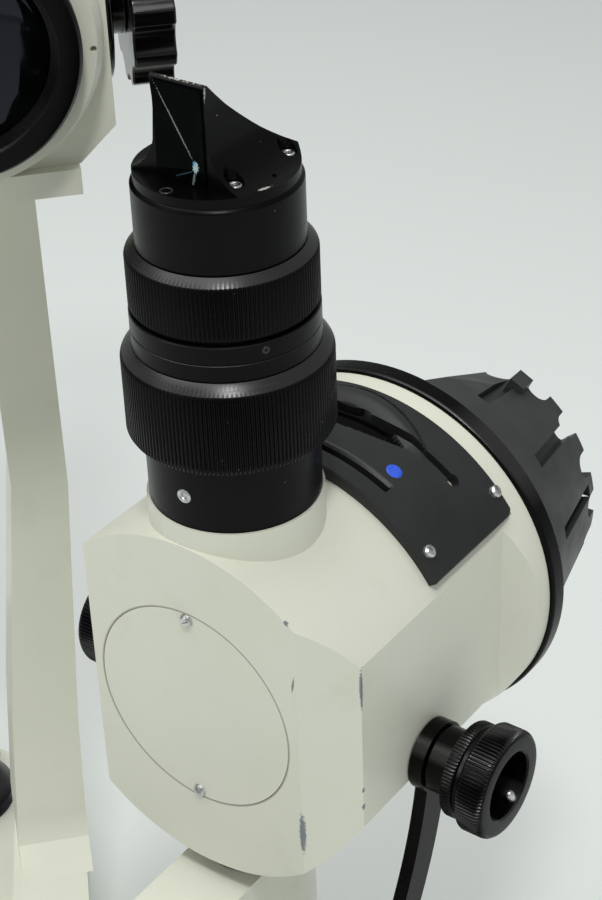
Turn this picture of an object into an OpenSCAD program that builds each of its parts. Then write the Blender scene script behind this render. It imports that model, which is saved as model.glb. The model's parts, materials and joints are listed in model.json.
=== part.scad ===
// Slit lamp biomicroscope: illumination tower, microscope and joystick base.
// Millimetres, +Z up. The origin lies on the table, on the common swing axis.
// +Y points to the operator, -Y to the patient.

/* [Stand] */
// Height of the base casting's top face
base_top = 52; // [48:1:54]
// Half width of the base casting
base_half_w = 112; // [105:1:120]
// Rear (patient side) end of the base casting
base_back = 88; // [75:1:95]
// Distance from the swing axis to the joystick
stick_y = 262; // [255:1:270]
// Joystick's distance to the left of the centre line
stick_left = 34; // [31:1:37]

/* [Microscope] */
// Height of the optical axis
optic_z = 434; // [430:1:436]
// Working distance, from the swing axis to the objective ring
work_dist = 107; // [107:0.5:109]
// Outer radius of the objective ring
objective_r = 33.8; // [33:0.1:36]
// Half width of the microscope body
body_half_w = 42; // [41:1:46]
// Distance from the swing axis to the microscope column
column_y = 206; // [206:0.5:208]

/* [Illumination] */
// Angle between the microscope and the illumination arm
swing = -47.3; // [-60:0.1:-30]
// Distance from the swing axis to the tower axis
tower_y = 80; // [79:0.5:81]
// Height of the tower collar's foot
tower_z = 330; // [326:1:332]

/* [Lamp housing] */
// Outer radius of the barrel
barrel_r = 55; // [54:0.5:56]
// Height of the barrel axis, from the collar's foot
barrel_z = -61; // [-62:0.5:-60]
// Front face of the barrel, from the tower axis
front_y = -24.2; // [-25:0.1:-23]
// Rear face of the barrel's rim, from the tower axis
rim_y = 70.5; // [70:0.5:71.5]
// Radius of the round cover plate
plate_r = 32; // [28:0.5:34]
// Half angle of the filter panel
panel_a = 55.8; // [50:0.1:56]

/* [Tower] */
// Radius of the collar
collar_r = 23; // [22:0.5:24]
// Radius of the lower knurled ring
lower_r = 27.4; // [26:0.1:28]
// Radius of the upper knurled ring
upper_r = 24.2; // [23:0.1:25]
// Radius of the head tube
head_r = 21.3; // [20.5:0.1:22]

/* [Hidden] */
$fn = 96;

cream = "#d0d4c3";
black = "#17181a";
grey = "#3a3c3e";
steel = "#b8babc";
glass = "#9fb4bd";

// Radial clearance of a running fit
run = 0.05;
// Gap between faces that pass each other
gap = 0.3;

// Base
foot_h = 8;
wall = 4;
plate_t = 3;
tongue_r = 32;
axle_y = 60;
axle_z = 16;
axle_r = 5;
wheel_r = 15;
wheel_w = 8;
base_corner = 24;
main_y = 150;

// Lift column
guide_r = 20;
guide_top = 64;
lift_r = 14;
lift_foot = 28;
flange_z = 80;
spindle_r = 10;
scope_hub_z = 83.4;
scope_hub_top = 172;
illum_hub_z = 172.6;
illum_top = 205.5;
cap_h = 12;
// Bore over the swing axis that takes a focusing test rod
rod_bore_r = 4;
hub_r = 25;

// Joystick
pivot_z = 46;
stick_hole_r = 20.3;
pin_r = 2;
shaft_r = 5;

// Microscope
arm_z = 67.8;
arm_h = 20;
column_t = 20;
plinth_z = optic_z - 39.5;
plinth_t = 7.5;
scope_y0 = work_dist + 18;
scope_y1 = 226;
drum_y = 165;
drum_z = optic_z - 4;
drum_r = 28;
drum_shaft_r = 6;
entry_x = 14;
entry_r = 12;
ocular_x = 32;
ocular_z = optic_z + 12;
box_y0 = scope_y1 + 14;
box_y1 = box_y0 + 44;
tube_y1 = box_y1 + 40;

// Lamp housing
flat_x = 35;
side_x = 47.5;
side_y1 = 58.5;
shell = 5;
shaft_y = 19.5;
shaft_z = -84.5;
slit_shaft_r = 4;
knob_r = 16;
hub_knob_r = 9.8;
boss_r = 10.6;
panel_out = 58.5;
panel_y0 = 23.5;
panel_y1 = 63.4;
screw_a = 47.7;
screw_ys = [27, 61.2];
rim_r = 57;
beam_up = 22;
front_slot_y = 31.2;
rear_slot_y = 51;
lever_a = -17;
flange_t = 7.5;
flange_r = 58.4;
cap_y1 = 121.3;
cap_front_r = 54;
cap_rear_r = 43.7;
cap_wall = 3;
// Two flats on the cap, each by its angle and its edge: [distance from the axis, distance along it]
cap_flats = [[0, [[60, 76.5], [56.5, 78], [34.9, 125]]],
             [-27.7, [[54.5, 82], [44.2, 82.5], [28.3, 125]]]];

// Lever, an arc about a point on the patient side
lever_c = [-110.9, -68.7];
lever_r = 130.7;
lever_half_w = 5;
lever_end = -42;
lever_x0 = side_x + 0.5;

// Tower
tube_r = 18;
tube_bore = 12;
lower_z0 = 20;
lower_z1 = 45.3;
index_z1 = 55.4;
upper_z1 = 72.8;
head_z1 = 90;
ridge_z = 118.3;
prism_half = 8.3;

// ---------- placing ----------
module on_illum() { rotate([0, 0, swing]) children(); }
module on_tower() { on_illum() translate([0, tower_y, tower_z]) children(); }
module on_barrel() { on_tower() translate([0, 0, barrel_z]) rotate([-90, 0, 0]) children(); }
module on_stick() { translate([-stick_left, stick_y, pivot_z]) children(); }
module along_x() { rotate([0, 90, 0]) children(); }
module along_y() { rotate([-90, 0, 0]) children(); }
module mirror_x(left) { mirror([left ? 1 : 0, 0, 0]) children(); }

// A tube or ring between two heights
module ring(r_out, r_in, z0, z1) {
    translate([0, 0, z0]) difference() {
        cylinder(r = r_out, h = z1 - z0);
        translate([0, 0, -1]) cylinder(r = r_in, h = z1 - z0 + 2);
    }
}

// A disc or rod between two heights
module rod(r, z0, z1) { translate([0, 0, z0]) cylinder(r = r, h = z1 - z0); }

// A sector of a ring, centred on an angle measured from the barrel's top towards +X
module sector(r_out, r_in, y0, y1, a0, a1) {
    rotate([0, 0, a0 - 90]) rotate_extrude(angle = a1 - a0)
        translate([r_in, y0]) square([r_out - r_in, y1 - y0]);
}

// ---------- base ----------
module base_outline(inset) {
    w = base_half_w - inset;
    c = base_corner - inset;
    y0 = -base_back + inset;
    y1 = main_y - inset;
    translate([-w + c, y0]) square([2 * (w - c), y1 - y0]);
    translate([-w, y0 + c]) square([2 * w, y1 - y0 - 2 * c]);
    for (x = [-w + c, w - c], y = [y0 + c, y1 - c]) translate([x, y]) circle(c);
    left = -stick_left - tongue_r + inset;
    right = -stick_left + tongue_r - inset;
    polygon([[-88 + inset, y1 - c], [70 - inset, y1 - c], [right, 165], [right, stick_y],
             [left, stick_y], [left, 190]]);
    translate([-stick_left, stick_y]) circle(tongue_r - inset);
}

module base_casting() {
    color(cream) difference() {
        union() {
            difference() {
                translate([0, 0, foot_h]) linear_extrude(base_top - foot_h) base_outline(0);
                translate([0, 0, foot_h - 1])
                    linear_extrude(base_top - foot_h - wall + 1) base_outline(wall);
            }
            rod(guide_r + 8, 30, base_top - wall);
            translate([-stick_left, stick_y, 0]) rod(tongue_r - wall, 34, base_top - wall);
            for (s = [-1, 1]) translate([s * (base_half_w - 14), axle_y, axle_z])
                along_x() translate([0, 0, -10]) cylinder(r = 8, h = 20);
            translate([base_half_w - 20, -30, 30]) along_x() cylinder(r = 8, h = 18);
        }
        rod(guide_r, 29, base_top + 1);
        translate([-stick_left, stick_y, 0]) rod(stick_hole_r, 33, base_top + 1);
        translate([-base_half_w - 10, axle_y, axle_z])
            along_x() cylinder(r = axle_r + run, h = 2 * base_half_w + 20);
        on_stick() along_x() rod(pin_r + run, -tongue_r + 5, tongue_r - 5);
        translate([base_half_w - 30, -30, 30]) along_x() cylinder(r = 3 + run, h = 40);
    }
}

module base_plate() {
    color(grey) difference() {
        translate([0, 0, foot_h - plate_t]) linear_extrude(plate_t) base_outline(1);
        for (p = foot_places()) translate([p[0], p[1], 0]) rod(3, 0, foot_h + 1);
        for (s = [-1, 1]) translate([s * (base_half_w - 1) - 12, axle_y - 17, 0])
            cube([24, 34, foot_h + 1]);
    }
}

// Four corners, the tongue's end and the swing axis
function foot_places() = [[-88, -64], [88, -64], [-88, 126], [88, 126], 
    [-stick_left - 18, 276], [-stick_left + 18, 276], [0, 0]];

module glide_feet() {
    color(black) for (p = foot_places()) translate([p[0], p[1], 0]) {
        rod(8, 0, foot_h - plate_t);
        rod(3, foot_h - plate_t, foot_h);
    }
}

module column_guide() {
    color(grey) difference() {
        union() {
            rod(guide_r, 30, guide_top);
            rod(guide_r + 10, base_top, base_top + 4);
        }
        rod(lift_r + run, 29, guide_top + 1);
    }
}

module cross_axle() {
    color(steel) translate([-base_half_w - 3 - wheel_w, axle_y, axle_z])
        along_x() cylinder(r = axle_r, h = 2 * (base_half_w + 3 + wheel_w));
}

module rail_wheels() {
    color(steel) for (s = [-1, 1]) translate([s * (base_half_w + 3 + wheel_w / 2), axle_y, axle_z])
        along_x() ring(wheel_r, axle_r, -wheel_w / 2, wheel_w / 2);
}

module base_lock_knob() {
    color(black) translate([base_half_w - 12, -30, 30]) along_x() {
        rod(3, 0, 18);
        rod(12, 12.5 + gap, 30);
    }
}

// ---------- joystick ----------
module gimbal_ring() {
    color(steel) on_stick() {
        difference() {
            ring(19.4, 12, -4, 4);
            along_y() rod(pin_r + run, -25, 25);
        }
        for (s = [-1, 1]) along_x() rod(pin_r, s > 0 ? 18.5 : -25.5, s > 0 ? 25.5 : -18.5);
    }
}

module joystick_shaft() {
    color(steel) on_stick() {
        sphere(r = 9);
        along_y() rod(pin_r, -17, 17);
        rod(shaft_r, 0, 94);
        difference() {
            sphere(r = 24);
            sphere(r = 22);
            translate([-30, -30, -30]) cube([60, 60, 42]);
        }
    }
}

module height_ring() {
    color(black) on_stick() difference() {
        union() {
            rod(15, 24.5, 27);
            rod(17, 27, 43);
        }
        rod(shaft_r + run, 20, 50);
    }
}

module joystick_grip() {
    color(black) on_stick() difference() {
        rotate_extrude() polygon(concat([[0, 43.5], [13, 43.5], [13, 48], [10.5, 56], [11.5, 80], [13, 94]],
            [for (a = [0:15:90]) [6 + 7 * cos(a), 96 + 7 * sin(a)]], [[0, 103]]));
        rod(shaft_r, 40, 94);
    }
}

// ---------- lift ----------
module lift_column() {
    color(steel) {
        rod(lift_r, lift_foot, flange_z);
        rod(22, flange_z, flange_z + 3);
        rod(spindle_r, flange_z + 3, illum_top + 0.8);
    }
}

module column_cap() {
    z0 = illum_top + 0.8;
    color(black) difference() {
        rotate_extrude() polygon([[0, z0], [18, z0], [18, z0 + 9.5], [15.5, z0 + cap_h], [0, z0 + cap_h]]);
        rod(rod_bore_r, z0 - 1, z0 + cap_h + 1);
    }
}

// ---------- microscope arm ----------
module scope_arm() {
    rear = column_y + column_t;
    color(cream) difference() {
        union() {
            rod(hub_r, scope_hub_z, scope_hub_top);
            intersection() {
                translate([0, 0, arm_z]) linear_extrude(60)
                    polygon([[-20, 0], [20, 0], [18, 60], [9.1, 155], [12.5, column_y], [12.5, rear],
                             [-14, rear], [-14, column_y], [-18.3, 162], [-20, 60]]);
                translate([-40, 0, 0]) rotate([90, 0, 90]) linear_extrude(80)
                    polygon([[0, scope_hub_z + 0.6], [31, scope_hub_z + 0.6], [37, arm_z], [rear, arm_z],
                             [rear, arm_z + arm_h], [100, arm_z + arm_h], [58, 96], [36, 116], [0, 118]]);
            }
        }
        rod(spindle_r + run, scope_hub_z - 1, scope_hub_top + 1);
        translate([0, 0, 130]) along_x() rod(3 + run, -hub_r - 10, 0);
    }
}

module scope_column() {
    z0 = arm_z + arm_h;
    rear = column_y + column_t;
    color(cream) {
        intersection() {
            translate([0, rear, 0]) rotate([90, 0, 0]) linear_extrude(60)
                polygon([[-14, z0], [12.5, z0], [14.4, 141], [17, 175], [19.2, 208], [21.2, 238],
                         [21.2, plinth_z - plinth_t], [1.5, plinth_z - plinth_t], [1.5, 240],
                         [-1.9, 211], [-5.5, 179], [-9.4, 145]]);
            translate([-40, 0, 0]) rotate([90, 0, 90]) linear_extrude(80)
                polygon([[rear, z0], [rear, plinth_z - plinth_t], [column_y, plinth_z - plinth_t],
                         [column_y, 240], [column_y - 16.5, 102], [column_y - 22, 93], [column_y - 36, z0]]);
        }
        translate([-31, work_dist + 14, plinth_z - plinth_t])
            cube([62, scope_y1 - work_dist - 14, plinth_t]);
    }
}

module scope_profile(inset) {
    w = body_half_w - inset;
    polygon([[31.5, plinth_z + inset], [w, plinth_z + 10], [w, optic_z + 30],
             [w - 12, optic_z + 40 - inset], [-w + 12, optic_z + 40 - inset], [-w, optic_z + 30],
             [-w, plinth_z + 10], [-31.5, plinth_z + inset]]);
}

module scope_body() {
    color(cream) difference() {
        translate([0, scope_y1, 0]) rotate([90, 0, 0]) linear_extrude(scope_y1 - scope_y0)
            scope_profile(0);
        translate([0, drum_y, drum_z]) along_x() {
            rod(drum_r + 1, -body_half_w + 5, body_half_w - 5);
            rod(drum_shaft_r + run, -60, 60);
        }
        translate([0, 0, optic_z]) along_y() rod(24, scope_y0 - 1, drum_y);
        for (s = [-1, 1]) translate([s * entry_x, 0, optic_z]) along_y() rod(10, drum_y, scope_y1 + 1);
    }
}

module front_disc() {
    color(cream) translate([0, 0, optic_z]) along_y() difference() {
        rotate_extrude() polygon([[0, scope_y0], [40.5, scope_y0], [40.5, scope_y0 - 5],
                                  [38, work_dist + 7], [0, work_dist + 7]]);
        rod(28, work_dist, scope_y0 + 1);
        translate([36.9, 3, work_dist]) cylinder(r = 0.9, h = 10);
        translate([-50, optic_z - plinth_z, work_dist]) cube([100, 10, 30]);
    }
}

module objective_ring() {
    color(black) translate([0, 0, optic_z]) along_y() rotate_extrude()
        polygon([[26, work_dist + 9], [24.5, work_dist + 2], [27, work_dist], [31.5, work_dist],
                 [objective_r, work_dist + 2], [objective_r, work_dist + 7], [28, work_dist + 7],
                 [28, scope_y0], [26, scope_y0]]);
}

module objective_lens() {
    color(glass) translate([0, 0, optic_z]) along_y() rod(26, work_dist + 9, work_dist + 15);
}

module side_knob(z) {
    color(black) translate([0, 0, z]) along_x() {
        rod(3, -hub_r - 9, -12);
        rod(11, -hub_r - 24, -hub_r - 8);
    }
}

module scope_clamp_knob() { side_knob(130); }

module mag_drum() {
    color(steel) translate([0, drum_y, drum_z]) difference() {
        along_x() {
            rod(drum_r, -33, 33);
            rod(drum_shaft_r, -body_half_w - 17, body_half_w + 17);
        }
        for (s = [-1, 1]) {
            translate([s * entry_x, 0, 0]) along_y() rod(8, -30, 30);
            translate([s * entry_x, 0, 0]) rotate([60, 0, 0]) along_y() rod(6, -30, 30);
        }
    }
}

module mag_knobs() {
    color(black) translate([0, drum_y, drum_z]) for (s = [-1, 1]) {
        x0 = body_half_w + 1;
        along_x() mirror([0, 0, s > 0 ? 0 : 1]) {
            ring(26, drum_shaft_r, x0, x0 + 2);
            difference() {
                ring(29, drum_shaft_r, x0 + 7, x0 + 19);
                for (a = [0:30:330]) rotate([0, 0, a + 16.5]) translate([33, 0, x0]) cylinder(r = 7, h = 30);
            }
            ring(14, drum_shaft_r, x0 + 2, x0 + 7);
        }
    }
}

module binocular_base() {
    color(cream) difference() {
        translate([0, box_y0 - 0.4, 0]) rotate([90, 0, 0]) linear_extrude(box_y0 - 0.4 - scope_y1)
            polygon([[-26, optic_z - 20], [26, optic_z - 20], [32, optic_z - 14], [32, optic_z + 20],
                     [26, optic_z + 26], [-26, optic_z + 26], [-32, optic_z + 20], [-32, optic_z - 14]]);
        for (s = [-1, 1]) translate([s * entry_x, 0, optic_z]) along_y()
            rod(entry_r + run, scope_y1 - 1, box_y0 + 1);
    }
}

module prism_box(left) {
    color(cream) mirror_x(left) difference() {
        union() {
            translate([0, box_y1, 0]) rotate([90, 0, 0]) linear_extrude(box_y1 - box_y0) {
                translate([entry_x, optic_z]) circle(13.2);
                translate([ocular_x, ocular_z]) circle(17);
                polygon([[8, optic_z + 11.5], [ocular_x - 12, ocular_z + 12], [ocular_x + 12, ocular_z - 12],
                         [entry_x + 6, optic_z - 11.5]]);
            }
            translate([entry_x, 0, optic_z]) along_y() rod(entry_r, scope_y1 + 0.5, box_y0 + 1);
        }
        translate([entry_x, 0, optic_z]) along_y() rod(9, scope_y1, box_y1 - 6);
        translate([ocular_x, 0, ocular_z]) along_y() rod(9, box_y0 + 6, box_y1 + 1);
    }
}

module prism_box_left() { prism_box(true); }
module prism_box_right() { prism_box(false); }

module on_ocular(left) {
    mirror_x(left) translate([ocular_x, 0, ocular_z]) along_y() children();
}

module eyepiece_tube(left) {
    color(black) on_ocular(left) difference() {
        rotate_extrude() polygon([[0, box_y1], [15, box_y1], [15, box_y1 + 4], [13.5, box_y1 + 6],
            [13.5, tube_y1], [10, tube_y1], [10, tube_y1 + 12], [0, tube_y1 + 12]]);
        rod(8.5, box_y1 - 1, tube_y1 + 13);
    }
}

module eyepiece_tube_left() { eyepiece_tube(true); }
module eyepiece_tube_right() { eyepiece_tube(false); }

module diopter_ring(left) {
    color(grey) on_ocular(left) difference() {
        union() {
            rod(15.5, tube_y1 + gap, tube_y1 + 10);
            rod(12.5, tube_y1 + 10, tube_y1 + 16);
        }
        rod(10 + run, tube_y1 - 1, tube_y1 + 17);
    }
}

module diopter_ring_left() { diopter_ring(true); }
module diopter_ring_right() { diopter_ring(false); }

module eyecup(left) {
    color(black) on_ocular(left) rotate_extrude()
        polygon([[12.5, tube_y1 + 10], [15, tube_y1 + 10], [16.5, tube_y1 + 16], [18.5, tube_y1 + 28],
                 [16.5, tube_y1 + 28], [14.5, tube_y1 + 18], [12.5, tube_y1 + 16]]);
}

module eyecup_left() { eyecup(true); }
module eyecup_right() { eyecup(false); }

module ocular_lens(left) { color(glass) on_ocular(left) rod(8.5, tube_y1 + 4, tube_y1 + 8); }
module ocular_lens_left() { ocular_lens(true); }
module ocular_lens_right() { ocular_lens(false); }

// ---------- illumination arm ----------
module illum_arm() {
    color(cream) on_illum() difference() {
        union() {
            rod(hub_r, illum_hub_z, illum_top);
            translate([-12.5, 0, illum_top - 22]) cube([25, tower_y, 22]);
            translate([0, tower_y, 0]) rod(17, illum_top - 30, illum_top);
        }
        rod(spindle_r + run, illum_hub_z - 1, illum_top + 1);
        translate([0, tower_y, 0]) rod(9 + run, illum_top - 31, illum_top + 1);
        translate([0, 0, 190]) along_x() rod(3 + run, -hub_r - 10, 0);
    }
}

module neck_spindle() {
    color(grey) difference() {
        on_illum() translate([0, tower_y, 0]) {
            rod(9, illum_top - 29, illum_top + 1);
            rod(18, illum_top + gap, 240);
        }
        on_barrel() rod(barrel_r, front_y, rim_y);
    }
}

module illum_clamp_knob() { on_illum() side_knob(190); }

// ---------- lamp housing ----------
module barrel_plan(t) {
    polygon([[-flat_x + t, front_y + t], [flat_x + 0.5 - t * 0.4, front_y + t],
             [side_x - t, front_y + 12 + t * 0.6], [side_x - t, side_y1], [rim_r + 1 - t, rim_y - 5],
             [rim_r + 1 - t, rim_y + t], [-rim_r - 1 + t, rim_y + t], [-rim_r - 1 + t, rim_y - 5],
             [-side_x + t, side_y1], [-side_x + t, 16], [-flat_x + t, 4]]);
}

module barrel_plan_block(t) {
    translate([0, 0, barrel_z - 70]) linear_extrude(140) barrel_plan(t);
}

module lamp_housing() {
    color(cream) difference() {
        union() {
            on_tower() intersection() {
                translate([0, 0, barrel_z]) along_y() {
                    rod(barrel_r, front_y, rim_y);
                    difference() {
                        rotate_extrude() polygon([[50, 55], [barrel_r, 55], [rim_r, panel_y1 + 0.4],
                                                  [rim_r, rim_y], [50, rim_y]]);
                        sector(barrel_r + 5, barrel_r, 50, panel_y1 + 0.4, -panel_a - 0.3, panel_a + 0.3);
                    }
                }
                barrel_plan_block(0);
            }
            on_tower() rod(collar_r + 0.7, -20, 0);
        }
        on_tower() intersection() {
            translate([0, 0, barrel_z]) along_y() rod(barrel_r - shell, front_y + shell, rim_y + 1);
            barrel_plan_block(shell);
        }
        on_tower() {
            rod(14, -30, 1);
            translate([0, 0, -60]) along_y() {
                rod(plate_r, front_y - 1, front_y + 2);
                rod(plate_r - 4, front_y - 1, front_y + shell + 1);
            }
            translate([0, shaft_y, shaft_z]) along_x() rod(slit_shaft_r + run, -60, 60);
            for (z = [-30, -90]) translate([0, 0, z]) along_y() rod(1, front_y, front_y + shell + 1);
        }
        on_barrel() {
            for (y = [front_slot_y, rear_slot_y])
                sector(barrel_r + 3, barrel_r - shell - 2, y - 1.5, y + 1.5, -39, 39);
            for (s = [-1, 1], y = screw_ys) rotate([0, 0, s * screw_a - 90])
                translate([0, 0, y]) along_x() rod(1, 48, 60);
        }
    }
}

module front_cover_plate() {
    color(cream) on_tower() translate([0, 0, -60]) along_y() difference() {
        rod(plate_r - 0.2, front_y, front_y + 2);
        for (s = [-1, 1]) translate([0, s * 30, 0]) rod(1, front_y - 1, front_y + 3);
    }
}

// A pan head screw pointing along +Z, its seat at zero
module pan_screw(len) {
    difference() {
        union() {
            rotate_extrude() polygon([[0, -1.4], [1.2, -1.3], [1.8, -0.8], [2, 0], [0, 0]]);
            rod(1, 0, len);
        }
        translate([-2, -0.25, -2]) cube([4, 0.5, 1.1]);
    }
}

module housing_screws() {
    color(steel) {
        on_tower() for (z = [-30, -90]) translate([0, front_y, z]) along_y()
            rotate([0, 0, z]) pan_screw(6);
        on_barrel() for (s = [-1, 1], y = screw_ys) rotate([0, 0, s * screw_a - 90])
            translate([panel_out, 0, y]) rotate([0, -90, 0]) rotate([0, 0, s * 35 + y])
                pan_screw(6);
    }
}

module filter_panel() {
    color(grey) on_barrel() difference() {
        sector(panel_out, barrel_r + run, panel_y0, panel_y1, -panel_a, panel_a);
        sector(panel_out + 1, barrel_r - 1, front_slot_y - 1.2, front_slot_y + 1.2, -28.4, 28.4);
        sector(panel_out + 1, barrel_r - 1, rear_slot_y - 1.2, rear_slot_y + 1.2, -37.7, 37.7);
        sector(panel_out + 1, panel_out - 1.5, 42.8, 50, -20, 20);
        for (s = [-1, 1])
            rotate([0, 0, s * 37.7 - 90]) translate([0, 0, rear_slot_y]) along_x() rod(2, 50, 60);
        for (s = [-1, 1], y = screw_ys) rotate([0, 0, s * screw_a - 90])
            translate([0, 0, y]) along_x() rod(1, 48, 60);
        mark_recess();
    }
}

module mark_recess() {
    rotate([0, 0, 25.4 - 90]) translate([0, 0, 37.8]) along_x() rod(2.5, panel_out - 0.8, 60);
}

module filter_mark() {
    color("#2f56d8") on_barrel() intersection() {
        mark_recess();
        rod(panel_out + 0.15, 30, 45);
    }
}

// A turret that carries filters, turned by a thumb lever on the housing
module filter_turret(y, half_t) {
    difference() {
        union() {
            ring(barrel_r - shell - 1, 43, y - 3, y + 3);
            rod(43.5, y - 0.8, y + 0.8);
            sector(panel_out + 4, 45, y - half_t, y + half_t, lever_a - 2, lever_a + 2);
            sector(panel_out + 9, panel_out + 2, y - 3, y + 3, lever_a - 5, lever_a + 5);
        }
        for (a = [lever_a - 33, lever_a + 17, lever_a + 67]) rotate([0, 0, a - 90])
            translate([beam_up, 0, y - 5]) cylinder(r = 8, h = 10);
    }
}

module filter_lever_front() { color(black) on_barrel() turret_trim() filter_turret(front_slot_y, 0.95); }
module filter_lever_rear() { color(black) on_barrel() turret_trim() filter_turret(rear_slot_y, 0.95); }

// Keeps a turret clear of the housing's flat sides at every lever position
module turret_trim() {
    intersection() {
        children();
        union() {
            rod(41.5, 0, 70);
            sector(80, 0, 0, 70, lever_a - 6, lever_a + 6);
        }
    }
}

module rear_flange() {
    color(black) on_barrel() rotate_extrude()
        polygon([[49, rim_y], [flange_r - 0.8, rim_y], [flange_r, rim_y + 0.8],
                 [flange_r, rim_y + flange_t - 1.5], [flange_r - 1.5, rim_y + flange_t],
                 [49, rim_y + flange_t]]);
}

// A wedge in a plane through the barrel's axis: [radius, distance] points, half thickness
module fin(a, half_t) {
    rotate([0, 0, a - 90]) rotate([90, 0, 0]) translate([0, 0, -half_t])
        linear_extrude(2 * half_t) children();
}

// What the flats take off, or with an inset the wall left behind them
module past_flats(inset) {
    for (flat = cap_flats) {
        edge = [for (p = flat[1]) [p[0] - inset, p[1] - inset]];
        fin(flat[0], 60) polygon(concat(edge, [[80, 125], [80, edge[0][1]]]));
    }
}

module lamp_cap() {
    y0 = rim_y + flange_t + gap;
    depth = 3.5;
    color(black) on_barrel() {
        difference() {
            rotate_extrude() polygon([[0, y0], [cap_front_r, y0], [cap_rear_r, cap_y1],
                                      [cap_rear_r - 4, cap_y1], [cap_rear_r - 5, cap_y1 - 5],
                                      [0, cap_y1 - 5]]);
            difference() {
                rotate_extrude() polygon([[0, y0 - 1], [48.3, y0 - 1], [36, cap_y1 - 8], [0, cap_y1 - 8]]);
                past_flats(cap_wall);
            }
            past_flats(0);
            for (i = [0:19]) rotate([0, 0, 15 + 18 * i - 90]) {
                translate([0, 0, cap_y1 - 3]) along_x() rod(3.8, cap_rear_r - 6, 60);
                translate([cap_rear_r - 6, -3.8, cap_y1 - 3]) cube([20, 7.6, 5]);
            }
            for (i = [0:12]) fin(24 + 360 / 13 * i, 2.2)
                polygon([[51 - depth, y0 + 14], [60, y0 + 12], [60, cap_y1 - 4], [45 - depth, cap_y1 - 4]]);
        }
        fin(27, 2.5) polygon([[40, cap_y1 - 13], [49.5, cap_y1 - 13], [49.5, cap_y1 - 7], [40, cap_y1 - 7]]);
    }
}

module bulb_socket() {
    color(steel) on_barrel() {
        difference() {
            rod(49, rim_y + 1, rim_y + 3);
            for (a = [0:60:300]) rotate([0, 0, a]) translate([34, 0, rim_y]) cylinder(r = 8, h = 5);
            translate([0, -beam_up, rim_y]) cylinder(r = 6, h = 5);
        }
        translate([0, -beam_up, 0]) ring(9, 6, rim_y + 3, rim_y + 16);
    }
}

module lamp_bulb() {
    color(glass) on_barrel() translate([0, -beam_up, 0]) {
        rod(6, rim_y - 2, rim_y + 14);
        translate([0, 0, rim_y - 2]) sphere(r = 6);
    }
}

module fold_mirror() {
    color(glass) on_tower() translate([0, 0, barrel_z + beam_up]) rotate([45, 0, 0])
        translate([-13, -13, -1]) cube([26, 26, 2]);
}

// ---------- tower ----------
module tower_collar() {
    color(black) on_tower() difference() {
        rod(collar_r, 0, lower_z0 - 0.2);
        rod(tube_r, 2, lower_z0 + 1);
        rod(14, -1, 3);
        rotate([0, 0, 3.2]) translate([0, 0, 9.4]) rotate([90, 0, 0]) rod(2.2, tube_r - 1, 30);
    }
}

module tower_screws() {
    color(steel) on_tower() {
        rotate([0, 0, 3.2]) translate([0, 0, 9.4]) rotate([90, 0, 0]) difference() {
            rod(2.2, tube_r, collar_r + 0.2);
            translate([-3, -0.35, collar_r - 0.8]) cube([6, 0.7, 2]);
        }
        for (x = [-12.4, 12.4], y = [-9.1, 12]) translate([x, y, 0]) difference() {
            rod(2, 90, 93.8);
            translate([0, 0, 92.4]) cylinder(r = 1, h = 3, $fn = 6);
        }
    }
}

module tower_tube() {
    color(black) on_tower() difference() {
        rotate_extrude() polygon([[tube_bore, 2], [tube_r, 2], [tube_r, upper_z1 + 0.2],
                                  [head_r, upper_z1 + 0.2], [head_r, head_z1 - 0.8],
                                  [head_r - 0.8, head_z1], [tube_bore, head_z1]]);
    }
}

module lower_ring() {
    color(black) on_tower() rotate_extrude()
        polygon([[tube_r + run, lower_z0], [lower_r - 0.8, lower_z0], [lower_r, lower_z0 + 0.8],
                 [lower_r, 42.4], [24.4, lower_z1], [tube_r + run, lower_z1]]);
}

module index_ring() {
    color(black) on_tower() rotate_extrude()
        polygon([[tube_r, 45.5], [24.3, 45.5], [24.3, 49.9], [23.8, 50.2], [24.3, 50.5],
                 [24.3, index_z1], [tube_r, index_z1]]);
}

module upper_ring() {
    color(black) on_tower() rotate_extrude()
        polygon([[tube_r + run, index_z1 + 0.2], [upper_r, index_z1 + 0.2], [upper_r, 71],
                 [head_r + 0.2, upper_z1], [tube_r + run, upper_z1]]);
}

module projection_lens() { color(glass) on_tower() rod(tube_bore, 80, 85); }

module prism_flank() {
    // Half of the head's side outline: straight above, flared in a quarter arc below
    arc = [for (a = [0:10:80]) [prism_half + 11 * (1 - cos(a)), 103.5 - 11 * sin(a)]];
    concat_pts = concat([[0, ridge_z], [prism_half, ridge_z], [prism_half - 0.7, 111]], arc,
                        [[21, 92.5], [0, 92.5]]);
    polygon(concat_pts);
    mirror([1, 0]) polygon(concat_pts);
}

module prism_slope() {
    // Side view: upright front, a slightly hollow slope behind
    polygon(concat([[-12.8, 92.5], [-12.8, ridge_z - 0.6], [-12, ridge_z]],
        [for (t = [0.1:0.1:1]) [-12 + 32 * t, ridge_z - 25.8 * t - 7 * t * (1 - t)]], [[20, 92.5]]));
}

module prism_pocket() {
    translate([-prism_half + 1.1, 0, 0]) rotate([90, 0, 90]) linear_extrude(2 * prism_half - 2.2)
        polygon([[-13.4, 93], [-13.4, ridge_z - 1.2], [-11.5, ridge_z - 1.4], [8, 96], [8, 93]]);
}

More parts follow.
